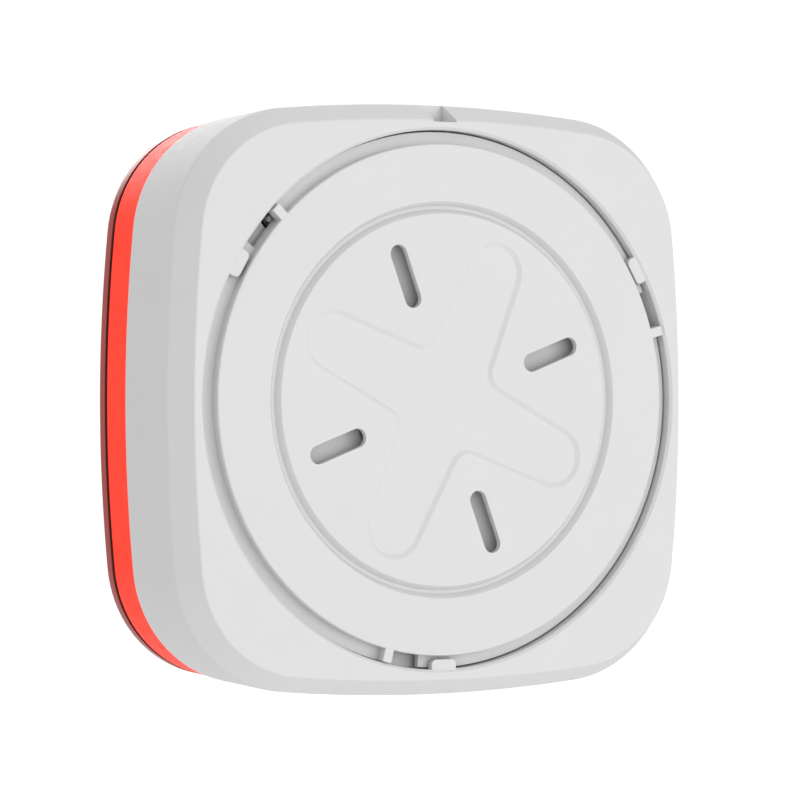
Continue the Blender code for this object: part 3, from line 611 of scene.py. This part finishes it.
def board_look():
    """Green solder mask over copper tracks on a square grid."""
    made, nodes, links, shader = material("solder_mask")
    where = coordinates(nodes, links)
    cells = nodes.new("ShaderNodeTexBrick")
    cells.inputs["Scale"].default_value = 260.0
    cells.inputs["Mortar Size"].default_value = 0.03
    cells.inputs["Color1"].default_value = (0.02, 0.15, 0.05, 1)
    cells.inputs["Color2"].default_value = (0.025, 0.18, 0.065, 1)
    cells.inputs["Mortar"].default_value = (0.05, 0.27, 0.1, 1)
    swap = nodes.new("ShaderNodeMapping")
    swap.inputs["Rotation"].default_value = (math.pi / 2, 0, 0)
    links.new(where, swap.inputs["Vector"])
    links.new(swap.outputs["Vector"], cells.inputs["Vector"])
    links.new(cells.outputs["Color"], shader.inputs["Base Color"])
    links.new(spread(nodes, links, noise(nodes, links, where, 300.0), 0.3, 0.45), shader.inputs["Roughness"])
    links.new(bump(nodes, links, cells.outputs["Fac"], 0.00002), shader.inputs["Normal"])
    return made


def white_plastic(name):
    return moulded(name, (0.82, 0.82, 0.825), 0.985, 0.58, 2600.0, 0.000006, Specular_IOR_Level=0.22)


WHITE = white_plastic("white_moulding")
PLATE_WHITE = white_plastic("plate_moulding")
RED = red_glow()
SMOKED = smoked_cover()
SEAL = moulded("seal_rubber", (0.012, 0.01, 0.01), 0.8, 0.7, 1800.0, 0.00001, Specular_IOR_Level=0.1)
BLACK = moulded("black_moulding", (0.012, 0.012, 0.013), 0.8, 0.6, 2200.0, 0.000008, Specular_IOR_Level=0.15)
CLEAR = moulded("clear_moulding", (0.9, 0.95, 0.95), 0.97, 0.12, 900.0, 0.000003, Transmission_Weight=0.8)
BOARD = board_look()
STEEL = metal("plated_steel", (0.68, 0.68, 0.67), 0.85, 0.28, (1, 0.1, 1))
BRASS = metal("bare_brass", (0.75, 0.52, 0.22), 0.85, 0.3, (0.1, 1, 1))
SLEEVE = moulded("cell_sleeve", (0.05, 0.09, 0.26), 0.85, 0.3, 700.0, 0.000006)
LED = moulded("led_epoxy", (0.9, 0.78, 0.5), 0.93, 0.2, 1500.0, 0.000004)


# ---------------------------------------------------------------- rear housing


def housing():
    """The white cup with its round recess, soft chamfer, raised floor pad and three hooks."""
    rim = FRAME_HALF
    core = HATCH_RADIUS - 2
    inner = rounded(
        [
            (core, CAVITY_Y, 0),
            (core, RECESS_FLOOR_Y, 0),
            (RECESS_RADIUS, RECESS_FLOOR_Y, 0.5),
            (RECESS_RADIUS, BACK_Y - RECESS_CHAMFER, 0.15),
            (RECESS_RADIUS + RECESS_CHAMFER, BACK_Y, 0.15),
            (RECESS_RADIUS + 1.3, BACK_Y, 0),
        ],
        closed=False,
    )
    outer = rounded(
        [
            (BACK_HALF - 0.9, BACK_Y, 0),
            (BACK_HALF, BACK_Y, 0.6),
            (HALF, CHAMFER_Y, 3.0),
            (rim, HOUSING_RIM_Y, 0.25),
            (rim - WALL, HOUSING_RIM_Y, 0),
            (HALF - WALL, CAVITY_Y, 0),
        ],
        closed=False,
    )
    bm = bmesh.new()
    loops = [round_loop(radius, y) for radius, y in inner[:-1]]
    loops += [squircle(half, y) for half, y in outer]
    loft(bm, loops, closed=True)
    shell = to_object("housing_shell", bm)
    hooks = bmesh.new()
    levels = [(0.28, 0), (0.09, -0.09), (0, -0.28), (0, 0.25 - HOOK_THICK), (0.25, -HOOK_THICK)]
    for third in range(3):
        outline = hook_outline(HOOK_ANGLE + 120 * third)
        stack(hooks, outline, [(inset, HOOK_START_Y + y) for inset, y in levels])
    top = RECESS_FLOOR_Y + PAD_HEIGHT
    under = CAVITY_Y + 1
    pad = rounded([(0, top, 0), (PAD_RADIUS, top, 0.3), (PAD_RADIUS, under, 0), (0, under, 0)])
    turn_profile(hooks, pad, 120)
    carve(shell, hooks, "UNION")
    carve(shell, housing_cuts())
    carve(shell, hatch_entries())
    return piece(shell, WHITE, "alarm", "white_plastic", "rear_housing")


def housing_cuts():
    """The release notch, the screw seats and the openings of the floor."""
    bm = bmesh.new()
    above = RECESS_FLOOR_Y + PAD_HEIGHT + 0.4
    below = CAVITY_Y - 1
    for quarter in range(4):
        x, z = at_angle(CASE_SCREW_AT, 90 * quarter)
        seat = RECESS_FLOOR_Y - SCREW_SEAT_DEPTH
        profile = [(0, above), (SCREW_SEAT_RADIUS, above), (SCREW_SEAT_RADIUS, seat), (0, seat)]
        turn_profile(bm, profile, 32, x, z)
    cylinder(bm, HATCH_RADIUS, above, below, 120)
    cylinder(bm, TAMPER_HOLE, above, below, 40, TAMPER_X, TAMPER_Z)
    cylinder(bm, POWER_HOLE, above, below, 40, POWER_X, POWER_Z)
    box(bm, -KEY_HALF_WIDTH, KEY_HALF_WIDTH, 1, KEY_FLOOR_Y, KEY_START_Z, HALF + 2)
    return bm


def hatch_entries():
    """Two gaps in the rim of the battery opening, which let the hatch's lugs in."""
    bm = bmesh.new()
    above = RECESS_FLOOR_Y + PAD_HEIGHT + 0.5
    below = CAVITY_Y - 0.8
    box(bm, -LUG_REACH, LUG_REACH, above, below, -LUG_HALF_WIDTH, LUG_HALF_WIDTH, LUG_TURN)
    return bm


# ---------------------------------------------------------------- mounting plate


def plate():
    """The round bayonet plate: groove, four-armed recess, slots, ribs and notched flange."""
    flange_front = PLATE_FRONT_Y
    profile = rounded(
        [
            (0, 0, 0),
            (GROOVE_INNER, 0, 0.15),
            (GROOVE_INNER + GROOVE_WALL, -GROOVE_DEPTH, 0.15),
            (GROOVE_OUTER - GROOVE_WALL, -GROOVE_DEPTH, 0.15),
            (GROOVE_OUTER, 0, 0.15),
            (DISC_RADIUS, 0, 0.5),
            (DISC_RADIUS, FLANGE_Y, 0.2),
            (FLANGE_RADIUS, FLANGE_Y, 0.15),
            (FLANGE_RADIUS, flange_front, 0.15),
            (DISC_RADIUS - 1.6, flange_front, 0.15),
            (DISC_RADIUS - 1.6, -PLATE_THICK, 0.2),
            (GROOVE_OUTER + 1.1, -PLATE_THICK, 0.2),
            (GROOVE_OUTER, RIDGE_BACK_Y, 0.2),
            (GROOVE_INNER, RIDGE_BACK_Y, 0.2),
            (GROOVE_INNER - 1.1, -PLATE_THICK, 0.2),
            (0, -PLATE_THICK, 0),
        ]
    )
    bm = bmesh.new()
    turn_profile(bm, profile, 180)
    disc = to_object("bayonet_plate", bm)
    ribs = bmesh.new()
    for third in range(3):
        outline = rib_outline(RIB_ANGLE + 120 * third)
        stack(ribs, outline, [(0.2, -0.15), (0.06, -0.2), (0, -0.35), (0, FLANGE_Y - 0.5)])
    carve(disc, ribs, "UNION")
    cross = bmesh.new()
    depth = CROSS_DEPTH
    wall = CROSS_WALL
    levels = [(-0.4, 0.2), (-0.08, 0), (0.1, -0.07), (wall - 0.12, 0.08 - depth), (wall + 0.1, -depth)]
    stack(cross, cross_outline, levels)
    carve(disc, cross)
    openings = bmesh.new()
    reach = SLOT_LENGTH / 2
    lip = [(-0.4, 0.3), (-0.1, 0), (-0.03, -0.04), (0, -0.12), (0, -3)]
    for quarter in range(4):
        angle = SLOT_ANGLE + 90 * quarter
        outline = bar_outline(SLOT_RADIUS - reach, SLOT_RADIUS + reach, SLOT_WIDTH, angle, 16)
        stack(openings, outline, lip)
    for third in range(3):
        turn = 120 * third
        outline = sector_outline(DISC_RADIUS + 0.02, FLANGE_RADIUS + 1, NOTCH_FROM + turn, NOTCH_TO + turn)
        stack(openings, outline, [(0, FLANGE_Y + 0.3), (0, flange_front - 1)])
    carve(disc, openings)
    return piece(disc, PLATE_WHITE, "plate", "white_plastic", "mounting_plate")


# ---------------------------------------------------------------- light frame and front


def ring_piece(name, look, slot, node, profile):
    """A frame-shaped piece with the case outline, from a closed profile of (half width, y, radius)."""
    bm = bmesh.new()
    loft(bm, [squircle(half, y) for half, y in rounded(profile)], closed=True)
    return piece(to_object(name, bm), look, "alarm", slot, node)


def light_band():
    tongue = FRAME_HALF - WALL - 0.35
    profile = [
        (FRAME_HALF, FRAME_START_Y, 0.2),
        (PANEL_HALF, FRAME_END_Y, 0.2),
        (FRAME_INNER_HALF, FRAME_END_Y, 0),
        (FRAME_INNER_HALF, FRAME_START_Y, 0),
        (tongue, FRAME_START_Y, 0),
    ]
    return ring_piece("light_band", RED, "red_diffuser", "light_frame", profile)


def seal_line():
    profile = [
        (SEAL_HALF, SEAL_START_Y, 0.1),
        (SEAL_HALF, SEAL_END_Y, 0.1),
        (SEAL_INNER_HALF, SEAL_END_Y, 0),
        (SEAL_INNER_HALF, SEAL_START_Y, 0),
    ]
    return ring_piece("seal_line", SEAL, "black_rubber", "panel_seal", profile)


def front_cover():
    """The smoked cover, with openings for the inlet, the button, the light pipe and the sounder."""
    edge = COVER_EDGE
    rim = PANEL_HALF - 0.15
    inside = [(rim - 2.5, FRONT_Y + 2.1), (rim - 2.1, PANEL_START_Y)]
    outside = rounded(
        [(PANEL_HALF, PANEL_START_Y, 0), (rim, FRONT_Y, edge), (rim - 2 * edge, FRONT_Y, 0)], closed=False
    )
    bm = bmesh.new()
    loft(bm, [squircle(half, y) for half, y in inside + outside], closed=False)
    cover = to_object("front_cover", bm)
    holes = bmesh.new()
    lip = FRONT_Y + 0.3
    far = FRONT_Y - 1
    near = FRONT_Y + 4
    button_hole = BUTTON_RADIUS + BUTTON_GAP
    for radius, x, z in ((INLET_HOLE, 0, 0), (button_hole, 0, BUTTON_Z), (LENS_HOLE, 0, LENS_Z)):
        profile = [(0, far), (radius + 0.9, far), (radius, lip), (radius, near), (0, near)]
        turn_profile(holes, profile, 96, x, z)
    for row in range(SOUNDER_ROWS):
        from_middle = row - SOUNDER_ROWS // 2
        z = SOUNDER_Z + SOUNDER_PITCH * from_middle
        reach = SOUNDER_REACH - SOUNDER_STEP * abs(from_middle)
        bar = slot_bar(SOUNDER_X - reach, SOUNDER_X + reach, z, SOUNDER_SLOT)
        stack(holes, bar, [(-0.9, far), (0, lip), (0, near)])
    carve(cover, holes)
    return piece(cover, SMOKED, "alarm", "smoked_plastic", "front_panel")


def slot_bar(x_from, x_to, z, width, steps=8):
    """A function of the inset, giving a level bar with a half round at each end."""

    def outline(inset):
        radius = width / 2 - inset
        points = []
        for end, start in ((x_to - width / 2, -90), (x_from + width / 2, 90)):
            for step in range(steps + 1):
                turn = math.radians(start + 180 * step / steps)
                points.append((end + radius * math.cos(turn), z + radius * math.sin(turn)))
        return points

    return outline


def inlet():
    """The drum over the optical chamber, with rounded slots all round under a domed cap."""
    face = FRONT_Y - 0.3
    top = GRILLE_FRONT_Y
    under = top + 2.4
    hole = INLET_HOLE - INLET_GAP
    inner, outer = INLET_WALL
    profile = rounded(
        [
            (0, top, 0),
            (12, top + 0.1, 30),
            (22, top + 0.5, 20),
            (29, top + 1.2, 6),
            (INLET_CAP_RADIUS, top + 1.9, 0.3),
            (INLET_CAP_RADIUS, under, 0.3),
            (outer, under, 0.3),
            (outer, face - 1.0, 0.4),
            (33.6, face - 1.0, 0.3),
            (34, face, 0.1),
            (hole, face, 0.1),
            (hole, INLET_END_Y, 0.2),
            (inner, INLET_END_Y, 0.2),
            (inner, under, 0.2),
            (0, under, 0),
        ]
    )
    bm = bmesh.new()
    turn_profile(bm, profile, 120)
    drum = to_object("inlet_drum", bm)
    slots = bmesh.new()
    for index in range(INLET_SLOTS):
        turn = 2 * math.pi * (index + 0.5) / INLET_SLOTS
        box(slots, inner - 1, outer + 1, *INLET_SLOT_Y, -INLET_SLOT_HALF, INLET_SLOT_HALF, turn)
    carve(drum, slots)
    return piece(drum, WHITE, "alarm", "white_plastic", "inlet_grille")


def screen():
    """The insect screen inside the drum: a fine woven mesh rolled into a sleeve."""
    low, high = span("insect_screen", 1)
    bm = bmesh.new()
    rings = []
    for row in range(MESH_ALONG + 1):
        y = low + 0.1 + (high - low - 0.2) * row / MESH_ALONG
        rings.append([])
        for step in range(MESH_AROUND):
            turn = 2 * math.pi * step / MESH_AROUND
            wave = MESH_RADIUS + MESH_WAVE * (-1) ** (row + step)
            rings[-1].append(bm.verts.new((wave * math.cos(turn), y, wave * math.sin(turn))))
    for first, second in zip(rings, rings[1:]):
        for step in range(MESH_AROUND):
            after = (step + 1) % MESH_AROUND
            bm.faces.new((first[step], second[step], second[after], first[after]))
    bmesh.ops.wireframe(
        bm,
        faces=bm.faces,
        thickness=MESH_WIRE,
        use_replace=True,
        use_even_offset=True,
        use_boundary=True,
    )
    return piece(to_object("insect_mesh", bm), STEEL, "alarm", "steel", "insect_screen")


def turned_piece(name, look, body, slot, node, profile, segments, x=0.0, z=0.0):
    bm = bmesh.new()
    turn_profile(bm, rounded(profile), segments, x, z)
    return piece(to_object(name, bm), look, body, slot, node)


def button_and_pin():
    """The test button, the tamper pin and the pin's sleeve, as turned pieces."""
    radius = BUTTON_RADIUS
    front = FRONT_Y - BUTTON_PROUD
    button = [
        (0, front + 0.5, 0),
        (radius - 1.6, front + 0.1, 2.0),
        (radius, front, 0.5),
        (radius, FRONT_Y + 2.4, 0),
        (radius + 1.4, FRONT_Y + 2.4, 0.2),
        (radius + 1.4, FRONT_Y + 3.6, 0.2),
        (BUTTON_POST, FRONT_Y + 3.6, 0.3),
        (BUTTON_POST, BUTTON_POST_END_Y, 0.2),
        (0, BUTTON_POST_END_Y, 0),
    ]
    turned_piece(
        "test_button_cap", WHITE, "test_button", "white_plastic", "test_button", button, 64, 0, BUTTON_Z
    )
    pin = [
        (0, PIN_TIP_Y, 0),
        (1.1, PIN_TIP_Y, 0.6),
        (1.1, -9.3, 0),
        (1.6, -9.3, 0.2),
        (1.6, -11.1, 0),
        (3.3, -11.1, 0.2),
        (3.3, -12.7, 0.2),
        (1.2, -12.7, 0),
        (1.2, PIN_END_Y, 0.2),
        (0, PIN_END_Y, 0),
    ]
    turned_piece(
        "tamper_pin", WHITE, "tamper_plunger", "white_plastic", "tamper_plunger", pin, 32, TAMPER_X, TAMPER_Z
    )
    sleeve = [
        (SLEEVE_HOLE, SLEEVE_TOP_Y, 0.15),
        (2.5, SLEEVE_TOP_Y, 0.15),
        (2.5, CAVITY_Y - 0.3, 0),
        (4.6, CAVITY_Y - 0.3, 0.2),
        (4.6, SLEEVE_END_Y, 0.2),
        (3.7, SLEEVE_END_Y, 0.2),
        (3.7, -10.8, 0),
        (SLEEVE_HOLE, -10.8, 0),
    ]
    turned_piece(
        "tamper_sleeve", BLACK, "alarm", "black_plastic", "tamper_bush", sleeve, 40, TAMPER_X, TAMPER_Z
    )


def spring(node, turns, wire):
    """A wire spring with closed ends, as long as its CAD node.
    """
    (x_from, x_to), (y_from, y_to), (z_from, z_to) = (span(node, axis) for axis in range(3))
    x = (x_from + x_to) / 2
    z = (z_from + z_to) / 2
    radius = (x_to - x_from) / 2 - wire
    start = y_from + wire
    length = y_to - y_from - 2 * wire
    end_rise = 2.3 * wire
    steps = 28
    sides = 12
    loops = []
    for index in range(turns * steps + 1):
        turned = index / steps
        rise = (length - 2 * end_rise) * (turned - 1) / (turns - 2) + end_rise
        if turned < 1:
            rise = end_rise * turned
        if turned > turns - 1:
            rise = length - end_rise * (turns - turned)
        angle = 2 * math.pi * turned
        loops.append([])
        for side in range(sides):
            around = 2 * math.pi * side / sides
            reach = radius + wire * math.cos(around)
            y = start + rise + wire * math.sin(around)
            loops[-1].append((x + reach * math.cos(angle), y, z + reach * math.sin(angle)))
    bm = bmesh.new()
    loft(bm, loops, closed=False)
    made = piece(to_object(f"{node}_wire", bm), STEEL, "alarm", "steel", node)
    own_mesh(made)


def carried_nodes():
    """Every CAD node that stays gets the material of its slot."""
    looks = {
        "white_plastic": WHITE,
        "red_diffuser": RED,
        "smoked_plastic": SMOKED,
        "black_rubber": SEAL,
        "black_plastic": BLACK,
        "clear_plastic": CLEAR,
        "board_laminate": BOARD,
        "steel": STEEL,
        "brass": BRASS,
        "cell_sleeve": SLEEVE,
        "led_body": LED,
    }
    for part in frame["record"]["subparts"]:
        mesh = frame["nodes"][part["node"]].data
        mesh.materials.clear()
        mesh.materials.append(looks[part["material_slot"]])


# ---------------------------------------------------------------- studio


def stage():
    """A wide pale floor below the alarm."""
    bm = bmesh.new()
    bmesh.ops.create_grid(bm, x_segments=2, y_segments=2, size=FLOOR_HALF)
    mesh = bpy.data.meshes.new("floor")
    bm.to_mesh(mesh)
    bm.free()
    floor = bpy.data.objects.new("floor", mesh)
    bpy.context.scene.collection.objects.link(floor)
    floor.location = (0, 0, FLOOR_Z)
    made, nodes, links, shader = material("floor_paper")
    where = coordinates(nodes, links)
    tone = ramp(nodes, links, noise(nodes, links, where, 3.0), (0.9, 0.9, 0.9), (0.93, 0.93, 0.93))
    links.new(tone, shader.inputs["Base Color"])
    shader.inputs["Roughness"].default_value = 0.9
    bright = nodes.new("ShaderNodeEmission")
    bright.inputs["Strength"].default_value = FLOOR_SEEN
    path = nodes.new("ShaderNodeLightPath")
    mix = nodes.new("ShaderNodeMixShader")
    links.new(path.outputs["Is Camera Ray"], mix.inputs[0])
    links.new(shader.outputs["BSDF"], mix.inputs[1])
    links.new(bright.outputs["Emission"], mix.inputs[2])
    links.new(mix.outputs["Shader"], nodes["Material Output"].inputs["Surface"])
    mesh.materials.append(made)


def soft_light(name, place, size, power):
    """A square soft box that faces the alarm."""
    lamp = bpy.data.lights.new(name, "AREA")
    lamp.shape = "SQUARE"
    lamp.size = size
    lamp.energy = power
    obj = bpy.data.objects.new(name, lamp)
    bpy.context.scene.collection.objects.link(obj)
    obj.location = place
    obj.rotation_euler = (-Vector(place)).to_track_quat("-Z", "Y").to_euler()


def studio():
    """White surroundings, with soft boxes behind the camera, above and at the sides."""
    world = bpy.data.worlds.new("studio")
    bpy.context.scene.world = world
    world.use_nodes = True
    nodes = world.node_tree.nodes
    links = world.node_tree.links
    seen = nodes["Background"]
    seen.inputs["Color"].default_value = (1, 1, 1, 1)
    seen.inputs["Strength"].default_value = WORLD_SEEN
    light = nodes.new("ShaderNodeBackground")
    light.inputs["Color"].default_value = (1, 1, 1, 1)
    light.inputs["Strength"].default_value = WORLD_LIGHT
    path = nodes.new("ShaderNodeLightPath")
    mix = nodes.new("ShaderNodeMixShader")
    links.new(path.outputs["Is Camera Ray"], mix.inputs[0])
    links.new(light.outputs["Background"], mix.inputs[1])
    links.new(seen.outputs["Background"], mix.inputs[2])
    links.new(mix.outputs["Shader"], nodes["World Output"].inputs["Surface"])
    for name, place, size, power in SOFT_BOXES:
        soft_light(name, place, size, power)


def camera():
    """The view from behind and to the alarm's left, level with its middle."""
    lens = bpy.data.cameras.new("camera")
    lens.sensor_width = 36.0
    lens.lens = LENS_MM
    lens.clip_start = 0.05
    lens.clip_end = 30.0
    obj = bpy.data.objects.new("camera", lens)
    bpy.context.scene.collection.objects.link(obj)
    obj.location = CAMERA_AT
    aim = Vector(CAMERA_AIM) - obj.location
    obj.rotation_euler = aim.to_track_quat("-Z", "Y").to_euler()
    bpy.context.scene.camera = obj


carried_nodes()
housing()
plate()
light_band()
seal_line()
front_cover()
inlet()
screen()
button_and_pin()
spring("test_spring", SPRING_TURNS, TEST_WIRE)
spring("tamper_spring", SPRING_TURNS, TAMPER_WIRE)
stage()
studio()
camera()
bpy.context.scene.view_settings.view_transform = "Standard"
